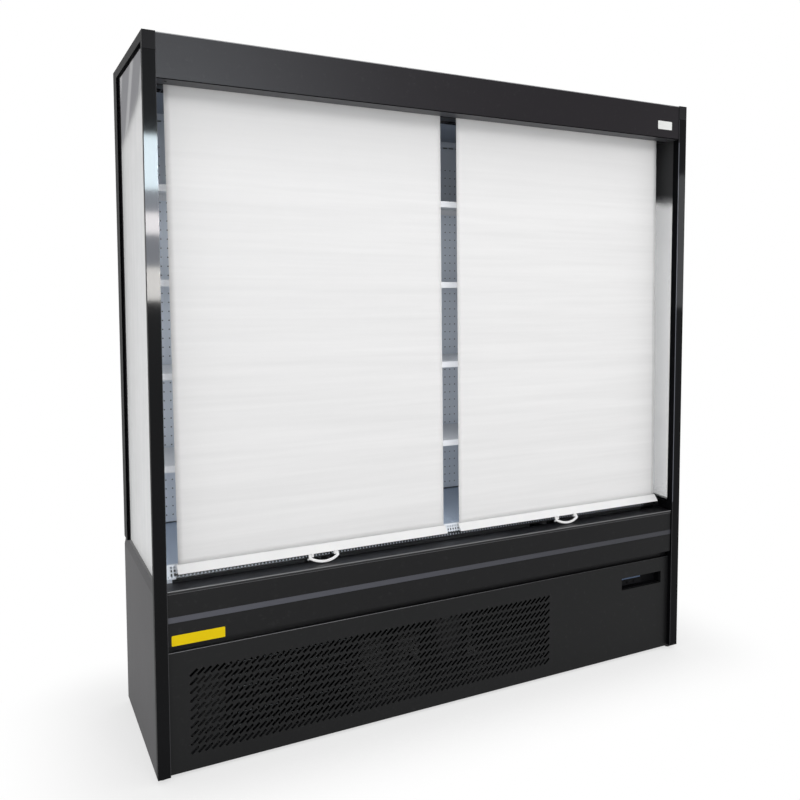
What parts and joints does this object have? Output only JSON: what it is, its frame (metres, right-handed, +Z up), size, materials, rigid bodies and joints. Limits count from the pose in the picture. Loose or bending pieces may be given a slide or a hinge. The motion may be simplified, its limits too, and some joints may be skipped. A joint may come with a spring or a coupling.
{
  "type": "open multideck display fridge",
  "caption": "Open multideck display fridge with side glass, stepped shelves, slotted kick plate and two pull-down roller night blinds.",
  "frame": {"origin": "floor level under the middle of the cabinet", "axes": "+X to the customer's right along the width, +Y from the open front to the back, +Z up"},
  "size_m": [1.82, 0.58, 2],
  "materials": {
    "frame_black": "semi-gloss powder coat",
    "side_black": "satin powder coat",
    "glass": "clear double glazing",
    "spacer_black": "matt border print and spacer",
    "foot_black": "moulded nylon",
    "galvanised": "galvanised sheet",
    "liner_grey": "satin light grey liner",
    "shelf_grey": "satin light grey",
    "deck_grey": "satin blue-grey",
    "grille_white": "satin off-white",
    "canopy_black": "satin black",
    "fascia_black": "gloss black",
    "outlet_black": "moulded honeycomb",
    "ceiling_grey": "satin dark blue-grey",
    "lamp_white": "translucent diffuser",
    "ledge_black": "high gloss",
    "bumper_black": "satin black",
    "stripe_grey": "satin grey insert",
    "kick_black": "satin black",
    "housing_black": "matt",
    "display_blue": "unlit display window",
    "key_grey": "gloss",
    "roller_white": "wound blind on its tube",
    "blind_white": "coated woven blind",
    "bar_white": "white coated extrusion",
    "handle_white": "moulded strap",
    "compressor_black": "gloss enamel",
    "fin_aluminium": "bare fins",
    "shroud_grey": "satin",
    "motor_grey": "cast housing",
    "fan_grey": "moulded",
    "copper": "bright copper",
    "tray_grey": "moulded",
    "box_grey": "moulded enclosure"
  },
  "bodies": {
    "cabinet": {"side_frame_left": "frame_black", "side_frame_right": "frame_black", "side_panel_left": "side_black", "side_panel_right": "side_black", "side_glass_left": "glass", "side_glass_right": "glass", "glass_spacers": "spacer_black", "base_frame": "galvanised", "rear_grille": "galvanised", "insulated_tub": "liner_grey", "rear_wall": "liner_grey", "roof_panel": "liner_grey", "rear_duct_panel": "liner_grey", "shelf_uprights": "liner_grey", "shelf_brackets": "liner_grey", "shelf_1": "shelf_grey", "shelf_2": "shelf_grey", "shelf_3": "shelf_grey", "shelf_4": "shelf_grey", "deck_pans": "deck_grey", "return_grille": "grille_white", "blind_cassette": "canopy_black", "fascia": "fascia_black", "air_outlet_grille": "outlet_black", "ceiling_panel": "ceiling_grey", "canopy_lamps": "lamp_white", "bumper_ledge": "ledge_black", "bumper_panel": "bumper_black", "bumper_stripe": "stripe_grey", "kick_plate": "kick_black", "controller_housing": "housing_black", "controller_display": "display_blue", "blind_fabric_left": "blind_white", "blind_fabric_right": "blind_white", "compressor": "compressor_black", "condenser_coil": "fin_aluminium", "evaporator_coil": "fin_aluminium", "condenser_fan_shroud": "shroud_grey", "evaporator_fan_plate": "shroud_grey", "condenser_fan_motor": "motor_grey", "evaporator_fan_motors": "motor_grey", "refrigerant_pipes": "copper", "evaporation_tray": "tray_grey", "electrical_box": "box_grey"},
    "bar_left": {"bottom_bar_left": "bar_white"},
    "bar_right": {"bottom_bar_right": "bar_white"},
    "handle_left": {"blind_handle_left": "handle_white"},
    "handle_right": {"blind_handle_right": "handle_white"},
    "roller_left": {"roller_left": "roller_white"},
    "roller_right": {"roller_right": "roller_white"},
    "condenser_fan": {"condenser_fan": "fan_grey"},
    "evaporator_fan_left": {"evaporator_fan_left": "fan_grey"},
    "evaporator_fan_right": {"evaporator_fan_right": "fan_grey"},
    "key_left": {"controller_key_left": "key_grey"},
    "key_right": {"controller_key_right": "key_grey"},
    "foot_front_left": {"foot_front_left": "foot_black"},
    "foot_front_right": {"foot_front_right": "foot_black"},
    "foot_rear_left": {"foot_rear_left": "foot_black"},
    "foot_rear_right": {"foot_rear_right": "foot_black"}
  },
  "joints": [
    {"name": "blind_left_slide", "type": "slide", "parent": "cabinet", "child": "bar_left", "axis": [0, 0, 1], "range_m": [0, 1.3], "deforming": ["blind_fabric_left"]},
    {"name": "roller_left_turn", "type": "hinge", "parent": "cabinet", "child": "roller_left", "pos_m": [-0.4345, -0.1932, 1.925], "axis": [1, 0, 0], "range_deg": [-3420, 0]},
    {"name": "handle_left_swing", "type": "hinge", "parent": "bar_left", "child": "handle_left", "pos_m": [-0.429, -0.2355, 0.5511], "axis": [1, 0, 0], "range_deg": [-65, 0]},
    {"name": "blind_right_slide", "type": "slide", "parent": "cabinet", "child": "bar_right", "axis": [0, 0, 1], "range_m": [0, 1.3], "deforming": ["blind_fabric_right"]},
    {"name": "roller_right_turn", "type": "hinge", "parent": "cabinet", "child": "roller_right", "pos_m": [0.4345, -0.1932, 1.925], "axis": [1, 0, 0], "range_deg": [-3420, 0]},
    {"name": "handle_right_swing", "type": "hinge", "parent": "bar_right", "child": "handle_right", "pos_m": [0.44, -0.2355, 0.5511], "axis": [1, 0, 0], "range_deg": [-65, 0]},
    {"name": "condenser_fan_spin", "type": "hinge", "parent": "cabinet", "child": "condenser_fan", "pos_m": [-0.52, -0.16, 0.1923], "axis": [0, 1, 0], "continuous": true},
    {"name": "evaporator_fan_left_spin", "type": "hinge", "parent": "cabinet", "child": "evaporator_fan_left", "pos_m": [-0.4, -0.148, 0.494], "axis": [0, 1, 0], "continuous": true},
    {"name": "evaporator_fan_right_spin", "type": "hinge", "parent": "cabinet", "child": "evaporator_fan_right", "pos_m": [0.4, -0.148, 0.494], "axis": [0, 1, 0], "continuous": true},
    {"name": "key_left_press", "type": "slide", "parent": "cabinet", "child": "key_left", "axis": [0, 1, 0], "range_m": [0, 0.001], "stiffness_N_per_m": 600},
    {"name": "key_right_press", "type": "slide", "parent": "cabinet", "child": "key_right", "axis": [0, 1, 0], "range_m": [0, 0.001], "stiffness_N_per_m": 600},
    {"name": "foot_front_left_turn", "type": "hinge", "parent": "cabinet", "child": "foot_front_left", "pos_m": [-0.893, -0.256, 0.007], "axis": [0, 0, 1], "continuous": true},
    {"name": "foot_front_right_turn", "type": "hinge", "parent": "cabinet", "child": "foot_front_right", "pos_m": [0.893, -0.256, 0.007], "axis": [0, 0, 1], "continuous": true},
    {"name": "foot_rear_left_turn", "type": "hinge", "parent": "cabinet", "child": "foot_rear_left", "pos_m": [-0.893, 0.246, 0.007], "axis": [0, 0, 1], "continuous": true},
    {"name": "foot_rear_right_turn", "type": "hinge", "parent": "cabinet", "child": "foot_rear_right", "pos_m": [0.893, 0.246, 0.007], "axis": [0, 0, 1], "continuous": true}
  ],
  "couplings": [
    {"joint": "roller_left_turn", "follows": "blind_left_slide", "rad_per_m": -45.872},
    {"joint": "roller_right_turn", "follows": "blind_right_slide", "rad_per_m": -45.872}
  ]
}
